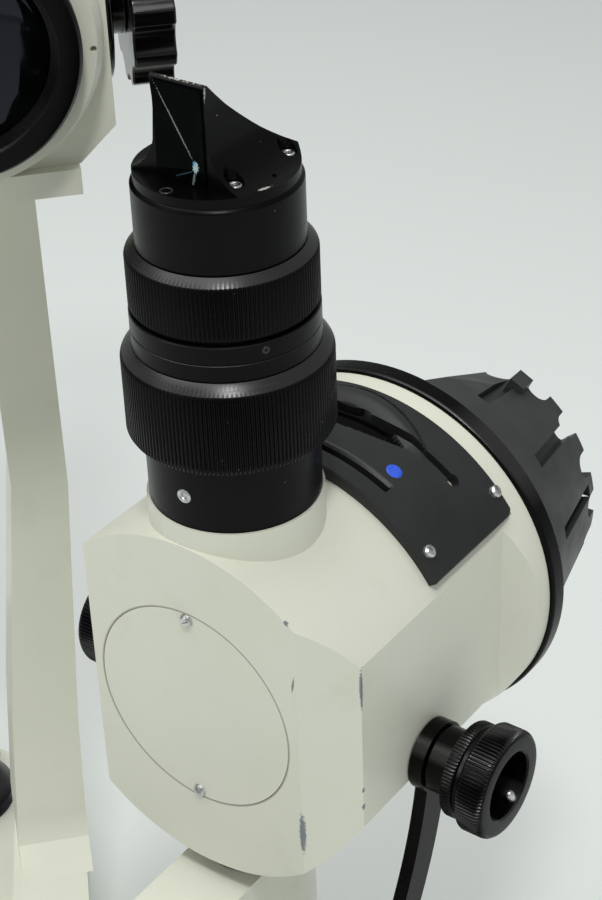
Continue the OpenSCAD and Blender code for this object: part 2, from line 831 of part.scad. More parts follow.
module prism_mount() {
    color(black) on_tower() difference() {
        union() {
            rod(20.5, head_z1, 92.5);
            intersection() {
                translate([0, 40, 0]) rotate([90, 0, 0]) linear_extrude(80) prism_flank();
                translate([-40, 0, 0]) rotate([90, 0, 90]) linear_extrude(80) prism_slope();
                rod(20.5, 92, 120);
            }
        }
        prism_pocket();
        for (x = [-12.4, 12.4], y = [-9.1, 12]) translate([x, y, 0]) rod(2, 90, 120);
        for (x = [-12.4, 12.4], y = [-9.1, 12]) translate([x, y, 0]) rod(2.4, 92.5, 120);
        translate([16.5, 1, 91]) cylinder(r = 0.6, h = 5);
    }
}

module prism() { color(glass) on_tower() prism_pocket(); }

module slit_blades() {
    color(steel) on_tower() for (s = [-1, 1])
        translate([s > 0 ? 0.4 : -11.4, -7, -3]) cube([11, 14, 0.8]);
}

// ---------- slit width shaft and lever ----------
module slit_shaft() {
    color(black) on_tower() translate([0, shaft_y, shaft_z]) along_x() {
        rod(slit_shaft_r, -62, 60);
        difference() {
            union() {
                rotate_extrude() polygon([[0, 52.8], [hub_knob_r, 52.8], [hub_knob_r, 59], [14.2, 60.5],
                                          [14.2, 63.5], [13.2, 64], [13.2, 65], [knob_r, 66.5],
                                          [knob_r, 73.5], [knob_r - 1, 74.5], [0, 74.5]]);
                rotate_extrude() polygon([[0, -50], [hub_knob_r, -50], [hub_knob_r, -55], [knob_r, -57],
                                          [knob_r, -68.5], [knob_r - 1, -69.5], [0, -69.5]]);
            }
            rod(10, 66, 80);
            rod(10, -80, -60);
        }
    }
}

module brake_lever() {
    color(black) on_tower() difference() {
        union() {
            translate([0, shaft_y, shaft_z]) along_x() rod(boss_r, lever_x0, lever_x0 + 4.3);
            translate([lever_x0, 0, 0]) rotate([90, 0, 90]) linear_extrude(4) lever_plan();
            translate([0, lever_c[0] + lever_r * cos(lever_end), lever_c[1] + lever_r * sin(lever_end)])
                along_x() rod(7.5, lever_x0 - 3, lever_x0 + 11);
        }
        translate([0, shaft_y, shaft_z]) along_x() rod(slit_shaft_r + run, 40, 60);
    }
}

// Curved bar of constant width, drawn in the Y-Z plane
module lever_plan() {
    translate(lever_c) intersection() {
        difference() {
            circle(lever_r + lever_half_w);
            circle(lever_r - lever_half_w);
        }
        polygon(concat([[0, 0]], [for (a = [lever_end, -22, -10]) 2 * lever_r * [cos(a), sin(a)]]));
    }
}

base_casting();
base_plate();
glide_feet();
column_guide();
cross_axle();
rail_wheels();
gimbal_ring();
joystick_shaft();
joystick_grip();
height_ring();
base_lock_knob();
lift_column();
column_cap();
scope_arm();
scope_column();
scope_body();
front_disc();
objective_ring();
objective_lens();
scope_clamp_knob();
mag_drum();
mag_knobs();
binocular_base();
prism_box_left();
prism_box_right();
eyepiece_tube_left();
eyepiece_tube_right();
diopter_ring_left();
diopter_ring_right();
eyecup_left();
eyecup_right();
ocular_lens_left();
ocular_lens_right();
illum_arm();
neck_spindle();
illum_clamp_knob();
lamp_housing();
front_cover_plate();
housing_screws();
filter_panel();
filter_mark();
filter_lever_front();
filter_lever_rear();
rear_flange();
lamp_cap();
bulb_socket();
lamp_bulb();
fold_mirror();
tower_collar();
tower_screws();
tower_tube();
lower_ring();
index_ring();
upper_ring();
projection_lens();
prism_mount();
prism();
slit_blades();
slit_shaft();
brake_lever();
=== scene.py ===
"""Looks of the slit lamp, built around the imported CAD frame. Lengths are in metres."""

import json
import math

import bmesh
import bpy
from mathutils import Matrix, Vector

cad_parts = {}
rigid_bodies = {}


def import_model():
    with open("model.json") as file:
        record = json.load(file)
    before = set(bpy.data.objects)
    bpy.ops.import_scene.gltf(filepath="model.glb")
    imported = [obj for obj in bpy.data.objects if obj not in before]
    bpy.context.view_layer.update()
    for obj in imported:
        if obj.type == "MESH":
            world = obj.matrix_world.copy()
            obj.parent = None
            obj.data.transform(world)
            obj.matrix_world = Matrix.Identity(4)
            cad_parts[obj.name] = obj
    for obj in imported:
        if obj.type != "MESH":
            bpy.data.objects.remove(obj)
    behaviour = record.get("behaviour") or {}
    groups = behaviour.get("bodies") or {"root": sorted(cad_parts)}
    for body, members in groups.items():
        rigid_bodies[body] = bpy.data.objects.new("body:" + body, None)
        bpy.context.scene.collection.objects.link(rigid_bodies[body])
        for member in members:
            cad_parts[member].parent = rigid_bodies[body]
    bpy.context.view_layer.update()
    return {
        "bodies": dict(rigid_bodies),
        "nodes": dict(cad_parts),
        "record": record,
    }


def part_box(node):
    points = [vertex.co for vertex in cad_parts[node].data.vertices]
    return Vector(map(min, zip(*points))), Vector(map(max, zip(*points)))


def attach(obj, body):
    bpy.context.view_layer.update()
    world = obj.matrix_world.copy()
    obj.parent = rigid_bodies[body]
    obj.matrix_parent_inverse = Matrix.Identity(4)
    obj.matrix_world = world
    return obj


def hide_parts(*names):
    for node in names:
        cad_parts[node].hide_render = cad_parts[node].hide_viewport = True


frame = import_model()

MM = 0.001
TAU = 2 * math.pi
SAME_POINT = 2e-5  # CAD points closer than this are one, in metres

# Each CAD node's material slot, and the body it hangs from
slots = {part["node"]: part["material_slot"] for part in frame["record"]["subparts"]}
home = {}
for node, shape in frame["nodes"].items():
    home[node] = next(b for b, empty in frame["bodies"].items() if empty is shape.parent)


# ---------------------------------------------------------------- places

def middle(node):
    """Centre of a CAD node's box."""
    low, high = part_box(node)
    return (Vector(low) + Vector(high)) / 2


def shift(x, y, z):
    """A move, given in millimetres."""
    return Matrix.Translation((x * MM, y * MM, z * MM))


def turned(axis, degrees):
    """A turn about an axis."""
    return Matrix.Rotation(math.radians(degrees), 4, axis)


def add_object(name, data):
    """A new object in the scene."""
    made = bpy.data.objects.new(name, data)
    bpy.context.collection.objects.link(made)
    return made


# Frames of the tower (its collar's foot), the housing's barrel, the slit width shaft, the
# microscope's optical axis and the round cover plate
BARREL_AXIS = (0, 0, -61)
SHAFT_AXIS = (0, 19.5, -84.5)
collar_mid = middle("tower_collar")
collar_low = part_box("tower_collar")[0][2]
SWING = -math.atan2(collar_mid.x, collar_mid.y)
SWUNG = Matrix.Rotation(SWING, 4, "Z")
TOWER = Matrix.Translation((collar_mid.x, collar_mid.y, collar_low)) @ SWUNG
BARREL = TOWER @ shift(*BARREL_AXIS) @ turned("X", -90)
SHAFT = TOWER @ shift(*SHAFT_AXIS) @ turned("Y", 90)
OPTIC = Matrix.Translation((0, 0, middle("objective_lens").z)) @ turned("X", -90)
PLATE = Matrix.Translation(middle("front_cover_plate")) @ SWUNG


def on_barrel(radius, angle, along):
    """A point on the lamp housing, its angle in degrees from the top towards +X."""
    a = math.radians(angle)
    return BARREL @ Vector((radius * math.sin(a) * MM, -radius * math.cos(a) * MM, along * MM))


# ---------------------------------------------------------------- camera

# Fitted to the photograph, in the tower's frame: millimetres and degrees
LENS = 80.2
EYE = (279.27, -342.38, 294.87)
PAN, LOOK_DOWN, ROLL = 36.93, 32.86, -2.285


def add_camera():
    """The viewpoint: from the patient's side, above and to the right of the lamp housing."""
    data = bpy.data.cameras.new("camera")
    data.lens = LENS
    data.clip_start = 0.01
    camera = add_object("camera", data)
    camera.matrix_world = (TOWER @ shift(*EYE) @ turned("Z", PAN) @ turned("X", 90 - LOOK_DOWN)
                           @ turned("Z", ROLL))
    bpy.context.scene.camera = camera


add_camera()


# ---------------------------------------------------------------- materials

def rgb(r, g, b):
    """A screen colour, 0 to 255, as a linear one."""
    return tuple(((c / 255 + 0.055) / 1.055) ** 2.4 if c > 10 else c / 255 / 12.92
                 for c in (r, g, b)) + (1,)


class Recipe:
    """A node material with short calls for the nodes used here."""

    def __init__(self, name, **values):
        self.material = bpy.data.materials.new(name)
        self.material.use_nodes = True
        self.tree = self.material.node_tree
        self.shader = self.tree.nodes["Principled BSDF"]
        for key, value in values.items():
            self.shader.inputs[key.replace("_", " ")].default_value = value
        source = self.tree.nodes.new("ShaderNodeTexCoord")
        self.place = source.outputs["Object"]
        self.facing = source.outputs["Normal"]

    def feed(self, socket, value):
        """Links an output to a socket, or sets the socket to a plain value."""
        if isinstance(value, bpy.types.NodeSocket):
            self.tree.links.new(value, socket)
        else:
            socket.default_value = value

    def node(self, kind, settings=(), **links):
        """A node; links are given by input name, or as i0, i1 by input number."""
        n = self.tree.nodes.new("ShaderNode" + kind)
        for key, value in dict(settings).items():
            setattr(n, key, value)
        for key, value in links.items():
            numbered = key[0] == "i" and key[1:].isdigit()
            self.feed(n.inputs[int(key[1:]) if numbered else key.replace("_", " ")], value)
        return n

    def link(self, value, key):
        self.tree.links.new(value, self.shader.inputs[key])

    def maths(self, kind, a, b=0.0):
        return self.node("Math", {"operation": kind}, i0=a, i1=b).outputs[0]

    def noise(self, scale, detail=2.0, rough=0.5, place=None):
        n = self.node("TexNoise", Vector=place or self.place, Scale=scale, Detail=detail,
                      Roughness=rough)
        return n.outputs["Fac"]

    def steps(self, value, low, high, out_low=0.0, out_high=1.0):
        """Carries low to high over to out_low to out_high, held at both ends."""
        n = self.node("MapRange", {"clamp": True}, i0=value, i1=low, i2=high, i3=out_low,
                      i4=out_high)
        return n.outputs[0]

    def mix(self, share, a, b):
        """A colour between a and b; inputs 6 and 7 are a Mix node's two colours."""
        return self.node("Mix", {"data_type": "RGBA"}, i0=share, i6=a, i7=b).outputs[2]

    def stretched(self, x, y, z):
        """The place, scaled along each axis."""
        return self.node("Mapping", i3=(x, y, z), Vector=self.place).outputs[0]

    def reach(self, matrix, scale):
        """How far the place is from matrix's origin, in units of scale along its axes."""
        m = self.node("Mapping", {"vector_type": "TEXTURE"}, Vector=self.place,
                      Location=matrix.translation, Rotation=matrix.to_euler(), Scale=scale)
        return self.node("VectorMath", {"operation": "LENGTH"}, i0=m.outputs[0]).outputs["Value"]

    def spot(self, matrix, centre, radii, turn=(0, 0, 0)):
        """1 inside an ellipsoid, given in millimetres in matrix's frame, 0 outside."""
        local = matrix @ shift(*centre)
        for angle, axis in zip(turn, "XYZ"):
            local = local @ turned(axis, angle)
        length = self.reach(local, [r * MM for r in radii])
        ragged = self.maths("ADD", length, self.steps(self.noise(2500, 2), 0.3, 0.7, -0.35, 0.35))
        return self.steps(ragged, 0.85, 1.05, 1.0, 0.0)

    def spots(self, marks):
        """1 inside any of the marks, or None where there are none."""
        found = None
        for mark in marks:
            spot = self.spot(*mark)
            found = spot if found is None else self.maths("MAXIMUM", found, spot)
        return found

    def circle(self, matrix, radius, width):
        """1 on a thin circle about matrix's Y axis, in millimetres, 0 off it."""
        length = self.reach(matrix, [MM, 1000, MM])
        off = self.maths("ABSOLUTE", self.maths("SUBTRACT", length, radius))
        return self.steps(off, width * 0.4, width, 0.8, 0.0)

    def bump(self, height, strength, distance):
        n = self.node("Bump", Height=height, Strength=strength, Distance=distance)
        self.link(n.outputs[0], "Normal")

    def speckle(self, scale, share, size=0.16):
        """Scattered small dots: share of the cells that hold one."""
        v = self.node("TexVoronoi", Vector=self.place, Scale=scale)
        dot = self.steps(v.outputs["Distance"], size * 0.6, size, 1.0, 0.0)
        chosen = self.node("SeparateColor", i0=v.outputs["Color"]).outputs[0]
        return self.maths("MULTIPLY", dot, self.maths("LESS_THAN", chosen, share))


def cream_paint(name="cream_paint", chips=(), seam=None):
    """Stove enamel: warm grey cream, a faint orange peel, handling marks and a few chips."""
    m = Recipe(name, Roughness=0.42, Specular_IOR_Level=0.45, Coat_Weight=0.12, Coat_Roughness=0.25)
    tone = m.steps(m.noise(14, 3, 0.55), 0.3, 0.7)
    colour = m.mix(tone, rgb(219, 221, 204), rgb(226, 227, 212))
    grime = m.steps(m.noise(60, 5, 0.65), 0.56, 0.78, 0.0, 0.35)
    colour = m.mix(grime, colour, rgb(206, 207, 188))
    colour = m.mix(m.maths("MULTIPLY", m.speckle(160, 0.025, 0.08), 0.7), colour, rgb(170, 170, 150))
    if seam:
        colour = m.mix(m.circle(*seam), colour, rgb(150, 149, 130))
    chips_and_highlights = m.spots(chips)
    if chips_and_highlights is not None:
        colour = m.mix(chips_and_highlights, colour, rgb(122, 130, 134))
    m.link(colour, "Base Color")
    m.link(m.steps(m.noise(45, 4), 0.3, 0.7, 0.36, 0.5), "Roughness")
    height = m.noise(700, 2, 0.4)
    if chips_and_highlights is not None:
        height = m.maths("SUBTRACT", height, m.maths("MULTIPLY", chips_and_highlights, 1.5))
    m.bump(height, 0.10, 0.00012)
    return m.material


def black_anodised(name="black_anodised", wear_and_highlights=(), shine=(0.24, 0.36), gloss=0.11, paint_chamfer_highlight=True):
    """Satin black anodised aluminium: turning marks, dust, painted highlights on given arrises and a
    painted highlight on chamfers that look up at a slant.
    """
    m = Recipe(name, Roughness=0.3, Specular_IOR_Level=gloss)
    tone = m.steps(m.noise(30, 4, 0.6), 0.3, 0.75)
    colour = m.mix(tone, rgb(3, 3, 3), rgb(8, 8, 8))
    colour = m.mix(m.maths("MULTIPLY", m.speckle(520, 0.03, 0.13), 0.5), colour, rgb(110, 110, 106))
    colour = m.mix(m.maths("MULTIPLY", m.speckle(190, 0.02, 0.06), 0.5), colour, rgb(130, 130, 126))
    # painted highlights: pale spots on the given arrises
    chips_and_highlights = m.spots(wear_and_highlights)
    if chips_and_highlights is not None:
        colour = m.mix(chips_and_highlights, colour, rgb(168, 170, 160))
    if paint_chamfer_highlight:  # painted highlight: paler colour and more gloss on faces that look up at a slant
        up = m.node("SeparateXYZ", i0=m.facing).outputs[2]
        upward_slant_highlight = m.maths("MULTIPLY", m.steps(up, 0.5, 0.66), m.steps(up, 0.84, 0.93, 1.0, 0.0))
        colour = m.mix(m.maths("MULTIPLY", upward_slant_highlight, 0.7), colour, rgb(38, 38, 37))
        m.link(m.steps(upward_slant_highlight, 0.0, 1.0, gloss, 0.5), "Specular IOR Level")
    m.link(colour, "Base Color")
    lines = m.noise(160, 2, 0.5, m.stretched(1, 1, 26))
    m.link(m.steps(lines, 0.25, 0.75, *shine), "Roughness")
    m.bump(m.maths("ADD", lines, m.noise(1800, 2)), 0.12, 0.00006)
    return m.material


def panel_grey():
    """Dark grey painted sheet with a fine spray texture."""
    m = Recipe("panel_grey", Roughness=0.42, Specular_IOR_Level=0.35)
    tone = m.steps(m.noise(25, 3, 0.6), 0.3, 0.7)
    colour = m.mix(tone, rgb(33, 34, 34), rgb(44, 45, 45))
    colour = m.mix(m.maths("MULTIPLY", m.speckle(260, 0.02, 0.1), 0.5), colour, rgb(110, 112, 110))
    m.link(colour, "Base Color")
    m.link(m.steps(m.noise(50, 4), 0.3, 0.7, 0.34, 0.5), "Roughness")
    m.bump(m.noise(1500, 3, 0.6), 0.16, 0.0001)
    return m.material


def painted_slot_shade():
    """Matt black painted shade inside the lever slots and on the filter panel's deepest faces."""
    m = Recipe("painted_slot_shade", Roughness=0.9, Specular_IOR_Level=0.1)
    m.link(m.mix(m.steps(m.noise(300, 3), 0.3, 0.7), rgb(6, 6, 6), rgb(12, 12, 12)), "Base Color")
    m.bump(m.noise(1800, 3), 0.3, 0.0001)
    return m.material


def turned_steel():
    """Turned bright steel with fine rings."""
    m = Recipe("steel", Metallic=1.0, Roughness=0.3)
    lines = m.noise(120, 3, 0.6, m.stretched(1, 1, 30))
    m.link(m.mix(m.steps(lines, 0.3, 0.7), rgb(176, 178, 180), rgb(205, 206, 207)), "Base Color")
    m.link(m.steps(lines, 0.3, 0.7, 0.22, 0.4), "Roughness")
    m.bump(lines, 0.15, 0.00005)
    return m.material


def screw_zinc():
    """Zinc plated screw heads, slightly tarnished."""
    m = Recipe("screw_zinc", Metallic=1.0, Roughness=0.28)
    tarnish = m.steps(m.noise(500, 3, 0.6), 0.35, 0.7)
    m.link(m.mix(tarnish, rgb(222, 223, 222), rgb(165, 166, 164)), "Base Color")
    m.link(m.steps(m.noise(900, 2), 0.3, 0.7, 0.2, 0.42), "Roughness")
    m.bump(m.noise(2500, 2), 0.12, 0.00004)
    return m.material


def black_plastic():
    """Moulded black plastic with a fine spark-eroded grain."""
    m = Recipe("black_plastic", Roughness=0.44, Specular_IOR_Level=0.42)
    tone = m.steps(m.noise(35, 3, 0.6), 0.3, 0.7)
    colour = m.mix(tone, rgb(46, 47, 47), rgb(58, 59, 59))
    colour = m.mix(m.maths("MULTIPLY", m.speckle(240, 0.02, 0.08), 0.4), colour, rgb(110, 110, 106))
    m.link(colour, "Base Color")
    m.link(m.steps(m.noise(90, 3), 0.3, 0.7, 0.38, 0.55), "Roughness")
    m.bump(m.noise(2200, 3, 0.6), 0.3, 0.0001)
    return m.material


def rubber():
    """Matt black rubber with a grey bloom."""
    m = Recipe("rubber", Roughness=0.78, Specular_IOR_Level=0.35)
    bloom = m.steps(m.noise(60, 4, 0.65), 0.4, 0.75)
    m.link(m.mix(bloom, rgb(24, 24, 24), rgb(44, 44, 43)), "Base Color")
    m.link(m.steps(m.noise(200, 3), 0.3, 0.7, 0.68, 0.88), "Roughness")
    m.bump(m.noise(1600, 3, 0.7), 0.35, 0.00012)
    return m.material


def lens_glass(name, tint, gloss, lines=()):
    """Dark coated glass, seen against the black inside of its mount."""
    m = Recipe(name, Roughness=0.05, IOR=1.52, Specular_IOR_Level=gloss, Specular_Tint=tint)
    haze = m.steps(m.noise(90, 4, 0.65), 0.45, 0.8)
    colour = m.mix(haze, rgb(4, 5, 5), rgb(10, 11, 12))
    # painted reflections: given lines and glints mixed into the colour
    for place, shade, share in lines:
        lit = m.maths("MULTIPLY", m.spot(*place), share)
        colour = m.mix(lit, colour, shade)
    m.link(colour, "Base Color")
    m.link(m.steps(haze, 0.0, 1.0, 0.03, 0.14), "Roughness")
    m.bump(m.noise(25, 1), 0.02, 0.0002)
    return m.material


def silvered():
    """A front-silvered mirror with a little haze."""
    m = Recipe("mirror", Metallic=1.0, Roughness=0.03)
    haze = m.steps(m.noise(120, 4, 0.6), 0.45, 0.8)
    m.link(m.mix(haze, rgb(240, 241, 242), rgb(205, 207, 208)), "Base Color")
    m.link(m.steps(haze, 0.0, 1.0, 0.02, 0.12), "Roughness")
    return m.material


def blue_mark():
    """A filled dot of blue paint."""
    m = Recipe("blue_mark", Roughness=0.3, Specular_IOR_Level=0.4)
    pool = m.steps(m.noise(400, 3), 0.3, 0.7)
    m.link(m.mix(pool, rgb(38, 80, 205), rgb(58, 100, 228)), "Base Color")
    m.link(m.steps(m.noise(700, 2), 0.3, 0.7, 0.25, 0.4), "Roughness")
    m.bump(m.noise(600, 2), 0.2, 0.0001)
    return m.material


def glide_pad():
    """Worn pale plastic under the base."""
    m = Recipe("glide_pad", Roughness=0.5)
    wear_and_highlights = m.steps(m.noise(120, 4, 0.6), 0.35, 0.7)
    m.link(m.mix(wear_and_highlights, rgb(206, 204, 194), rgb(170, 167, 156)), "Base Color")
    m.link(m.steps(m.noise(250, 3), 0.3, 0.7, 0.42, 0.62), "Roughness")
    m.bump(m.noise(900, 3), 0.2, 0.0001)
    return m.material


# Paint chips on the lamp housing, in the tower's frame: centre, half sizes, turn
CHIPS = [
    (TOWER, (35.4, -24.2, -88.0), (0.9, 1.4, 6.8)),
    (TOWER, (33.0, -24.2, -17.2), (0.9, 0.9, 0.5), (0, 35, 0)),
    (TOWER, (34.4, -24.2, -36.7), (0.35, 0.9, 2.6), (0, 8, 0)),
    (TOWER, (47.4, -12.0, -40.5), (0.6, 0.6, 6.5)),
    (TOWER, (47.4, -12.0, -75.4), (0.5, 0.5, 0.9)),
    (TOWER, (47.4, -12.0, -81.4), (0.6, 0.6, 1.1)),
]
# Painted highlights along arrises of the prism mount and head tube, in the tower's frame
ARRIS_HIGHLIGHTS = [
    (TOWER, (0, -12.7, 118.3), (9.2, 0.7, 0.3)),
    (TOWER, (8.3, -12.8, 115.5), (0.35, 0.4, 3.0)),
    (TOWER, (18.4, -5.6, 92.5), (0.5, 1.5, 0.35), (0, 0, -17)),
]
# Painted reflections of edges, and a glint, on the prism's front face, in the tower's frame
PRISM_REFLECTIONS = [
    ((TOWER, (-0.7, -13.4, 107.2), (0.22, 0.8, 10.4), (0, -30.4, 0)), rgb(150, 156, 158), 0.6),
    ((TOWER, (4.6, -13.4, 97.6), (0.8, 0.8, 1.5), (0, 10, 0)), rgb(190, 215, 214), 0.9),
    ((TOWER, (4.3, -13.4, 98.5), (0.5, 0.8, 0.8)), rgb(120, 180, 215), 0.7),
    ((TOWER, (3.9, -13.4, 94.6), (0.32, 0.8, 2.2), (0, 14, 0)), rgb(140, 150, 152), 0.6),
    ((TOWER, (1.2, -13.4, 95.4), (3.2, 0.8, 0.2), (0, -24, 0)), rgb(60, 80, 92), 0.7),
]

PLATE_SEAM = (PLATE, 32.15, 0.35)  # the dark line round the cover plate: frame, radius, width

mats = {
    "cream_paint": cream_paint(),
    "cream_chipped": cream_paint("cream_chipped", CHIPS, PLATE_SEAM),
    "black_anodised": black_anodised(),
    # painted highlights on arrises, without the chamfer highlight
    "black_highlit_arrises": black_anodised("black_highlit_arrises", ARRIS_HIGHLIGHTS, paint_chamfer_highlight=False),
    "black_gloss": black_anodised("black_gloss", shine=(0.12, 0.22), gloss=0.35),
    "panel_grey": panel_grey(),
    "steel": turned_steel(),
    "screw_zinc": screw_zinc(),
    "black_plastic": black_plastic(),
    "rubber": rubber(),
    "lens_glass": lens_glass("lens_glass", (0.75, 0.8, 1, 1), 0.3),
    "prism_glass": lens_glass("prism_glass", (0.9, 0.95, 1, 1), 0.02, PRISM_REFLECTIONS),
    "mirror": silvered(),
    "blue_mark": blue_mark(),
    "glide_pad": glide_pad(),
    # matt black painted shade for the slots and the panel's deep faces
    "painted_slot_shade": painted_slot_shade(),
}
# Nodes whose finish isn't simply that of their slot
SPECIAL = {"lamp_housing": "cream_chipped", "prism_mount": "black_highlit_arrises", "tower_tube": "black_highlit_arrises",
           "prism": "prism_glass", "mag_knobs": "black_gloss"}


# ---------------------------------------------------------------- carried-over CAD nodes

def finish_of(node):
    """The material that a CAD node, or a piece in its place, is made of."""
    return mats[SPECIAL.get(node, slots[node])]


def round_edges(shape, width, segments=2):
    """Rounds an object's edges by width, in millimetres."""
    for polygon in shape.data.polygons:
        polygon.use_smooth = True
    edge = shape.modifiers.new("edge", "BEVEL")
    edge.width = width * MM
    edge.segments = segments
    edge.limit_method = "ANGLE"
    edge.angle_limit = math.radians(30)
    edge.use_clamp_overlap = True
    edge.harden_normals = False
    even = shape.modifiers.new("even", "WEIGHTED_NORMAL")
    even.keep_sharp = False
    even.weight = 80


def soften(node, width):
    """Joins up a CAD node's faces and rounds its edges."""
    shape = frame["nodes"][node]
    weld = shape.modifiers.new("weld", "WELD")
    weld.merge_threshold = SAME_POINT
    flat = shape.modifiers.new("flat", "DECIMATE")
    flat.decimate_type = "DISSOLVE"
    flat.angle_limit = math.radians(0.6)
    round_edges(shape, width)


for node, shape in frame["nodes"].items():
    shape.data.materials.clear()
    shape.data.materials.append(finish_of(node))


# ---------------------------------------------------------------- new pieces

def stand_in(name, bm, nodes, material=None, sharp=32, replace=True):
    """Makes a mesh into a piece that rides with, and takes its finish from, the first of nodes."""
    nodes = [nodes] if isinstance(nodes, str) else nodes
    bmesh.ops.remove_doubles(bm, verts=bm.verts, dist=1e-6)
    bmesh.ops.recalc_face_normals(bm, faces=bm.faces)
    mesh = bpy.data.meshes.new(name)
    bm.to_mesh(mesh)
    bm.free()
    mesh.shade_smooth()
    mesh.set_sharp_from_angle(angle=math.radians(sharp))
    piece = add_object(name, mesh)
    mesh.materials.append(mats[material] if material else finish_of(nodes[0]))
    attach(piece, home[nodes[0]])
    if replace:
        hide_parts(*nodes)
    return piece


# Tooth shapes for lathe: (share of the pitch, share of the depth)
PLAIN = ((0, 0),)
KNURL = ((0, 0), (0.22, 0), (0.5, 1), (0.72, 1))
FLUTE = ((0, 0), (0.35, 0), (0.45, 0.5), (0.55, 0.85), (0.675, 1), (0.8, 0.85), (0.9, 0.5))


def lathe(bm, profile, place, teeth=96, tooth=PLAIN, depth=0.0, closed=True):
    """Turns a profile of (radius, height, share of tooth depth) about place's Z axis, in mm."""
    angles = [((k + share) / teeth * TAU, cut * depth) for k in range(teeth) for share, cut in tooth]
    rings = []
    for point in profile:
        radius, height = point[:2]
        share = point[2] if len(point) > 2 else 0
        if radius < 1e-6:
            vert = bm.verts.new(place @ Vector((0, 0, height * MM)))
            rings.append([vert] * len(angles))
            continue
        ring = []
        for a, cut in angles:
            r = (radius - cut * share) * MM
            ring.append(bm.verts.new(place @ Vector((r * math.cos(a), r * math.sin(a), height * MM))))
        rings.append(ring)
    pairs = list(zip(rings, rings[1:]))
    if closed:
        pairs.append((rings[-1], rings[0]))
    for a, b in pairs:
        for k in range(len(angles)):
            n = (k + 1) % len(angles)
            corners = []
            for vert in (a[k], a[n], b[n], b[k]):
                if vert not in corners:
                    corners.append(vert)
            if len(corners) > 2:
                bm.faces.new(corners)


def tower_rings():
    """The two knurled rings and the plain index ring between them."""
    bm = bmesh.new()
    lathe(bm, [(18.05, 20), (26.2, 20), (26.7, 20.2), (27.1, 20.9, 1), (27.4, 21.4, 1), (27.4, 41.6, 1),
               (27.25, 42.2, 1), (26.9, 42.9), (24.7, 45.05), (24.3, 45.3), (18.05, 45.3)],
          TOWER, 150, KNURL, 0.42)
    stand_in("lower_ring_knurled", bm, "lower_ring")

    bm = bmesh.new()
    lathe(bm, [(18.05, 55.6), (23.3, 55.6), (23.9, 56.6), (24.2, 57, 1), (24.2, 70, 1), (24.05, 70.5, 1),
               (23.8, 71), (21.7, 72.6), (21.4, 72.8), (18.05, 72.8)], TOWER, 132, KNURL, 0.38)
    stand_in("upper_ring_knurled", bm, "upper_ring")

    bm = bmesh.new()
    lathe(bm, [(18, 45.5), (24.1, 45.5), (24.3, 45.7), (24.3, 49.95), (24.15, 50.05), (23.95, 50.2),
               (24.15, 50.35), (24.3, 50.45), (24.3, 54.9), (24.1, 55.2), (23.6, 55.4), (18, 55.4)], TOWER)
    stand_in("index_ring_turned", bm, "index_ring")

    bm = bmesh.new()
    dot = TOWER @ Matrix.Rotation(math.atan2(-11.6, 21.3), 4, "Z") @ shift(24.0, 0, 53.0)
    dot = dot @ turned("Y", 90)
    lathe(bm, [(0, 0), (0, 0.25), (0.35, 0.25), (0.45, 0.42), (0.95, 0.4), (1.1, 0.25), (1.1, 0)], dot, 24)
    stand_in("index_screw", bm, "index_ring", "panel_grey", replace=False)


def knurled_knobs():
    """The slit width shaft with its two knobs; the right one has a deep recess."""
    bm = bmesh.new()
    lathe(bm, [(0, -62), (4, -62), (4, 60), (0, 60)], SHAFT, 48)
    lathe(bm, [(4, 52.8), (9.4, 52.8), (9.8, 53.2), (9.8, 58.6), (10.2, 59.2), (13.9, 60.3),
               (14.2, 60.8, 0.5), (14.2, 63, 0.5), (13.8, 63.6), (13.2, 64), (13.2, 65), (14, 65.4),
               (15.7, 66.4), (16, 66.9, 1), (16, 72.6, 1), (15.75, 73.4, 1), (15.2, 74.1), (14.8, 74.4),
               (14.2, 74.5), (10.6, 74.5), (10.1, 74), (10, 66.3), (9.4, 66), (3.6, 66), (3.3, 66.6),
               (0, 66.6), (0, 60), (4, 60)], SHAFT, 88, KNURL, 0.55)
    lathe(bm, [(4, -50), (9.8, -50), (9.8, -55), (15.6, -56.8), (16, -57.3, 1), (16, -67.9, 1),
               (15.6, -68.8, 1), (15, -69.5), (10.4, -69.5), (10, -69), (10, -60), (0, -60), (0, -56),
               (4, -56)], SHAFT, 88, KNURL, 0.55)
    stand_in("slit_shaft_turned", bm, "slit_shaft")

    bm = bmesh.new()
    pin = SHAFT @ turned("Z", 28) @ shift(10.4, 0, 72.3) @ turned("Y", -90)
    lathe(bm, [(0, 0), (1.5, 0), (1.5, 3.2), (1.35, 3.8), (1, 4.2), (0.5, 4.4), (0, 4.45)],
          pin, 24, closed=False)
    stand_in("recess_screw", bm, "slit_shaft", "screw_zinc", replace=False)


# The filter panel: radii and distances along the barrel in millimetres, angles in degrees
PANEL_R, PANEL_INNER_R = 58.5, 55.05
PANEL_Y = (23.5, 63.4)
PANEL_HALF = 55.8
CORNER_R = 3.0
FRONT_SLOT, FRONT_MID, FRONT_REACH = (30.0, 32.4), 31.2, 28.4
REAR_SLOT, REAR_MID, REAR_REACH = (49.8, 52.2), 51.0, 37.7
GROOVE = (29.4, 33.2)
SCOOP_Y, SCOOP_HALF = 47.3, 22.5
GUARD_HALF, SEAM_HALF, SEAM_Y = 29, 28, 50.8


